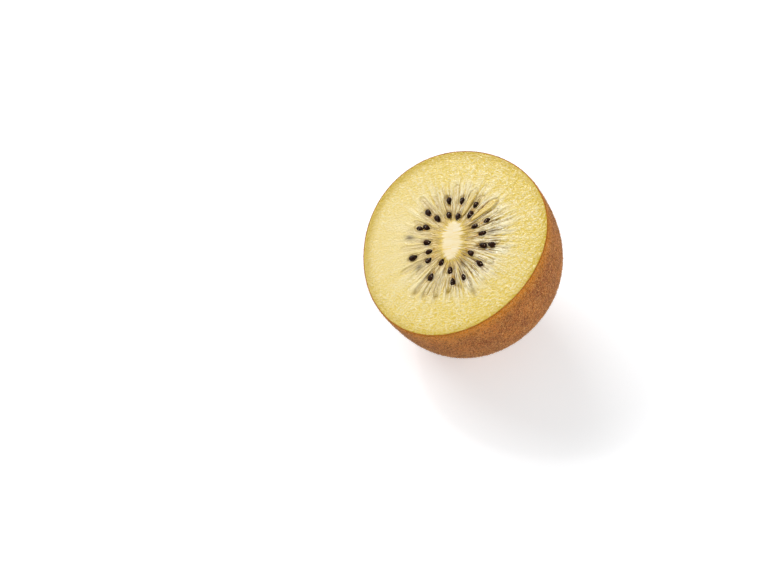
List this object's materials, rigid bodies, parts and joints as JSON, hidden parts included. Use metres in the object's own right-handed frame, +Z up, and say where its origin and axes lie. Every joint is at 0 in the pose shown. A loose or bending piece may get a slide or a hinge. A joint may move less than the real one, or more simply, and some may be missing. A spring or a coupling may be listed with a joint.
{
  "type": "golden kiwi fruit half",
  "caption": "Half of a golden kiwi fruit, cut straight across: brown skin, golden flesh with sunken locules, pale oval core and dark seeds. It rests on a small flat spot.",
  "frame": {"origin": "middle of the small flat spot that the half fruit rests on", "axes": "+Z up; the cut face looks up and forwards towards -Y, with the fruit's axis leaning 25 degrees from upright in the YZ plane; +X to the right as seen from the front"},
  "size_m": [0.0503, 0.0513, 0.0446],
  "materials": {
    "kiwi_skin": "matt brown skin with fine short fuzz",
    "kiwi_flesh": "wet golden flesh",
    "kiwi_seed": "smooth dark seed"
  },
  "bodies": {
    "root": {"golden_kiwi_half": "kiwi_skin"}
  },
  "joints": []
}
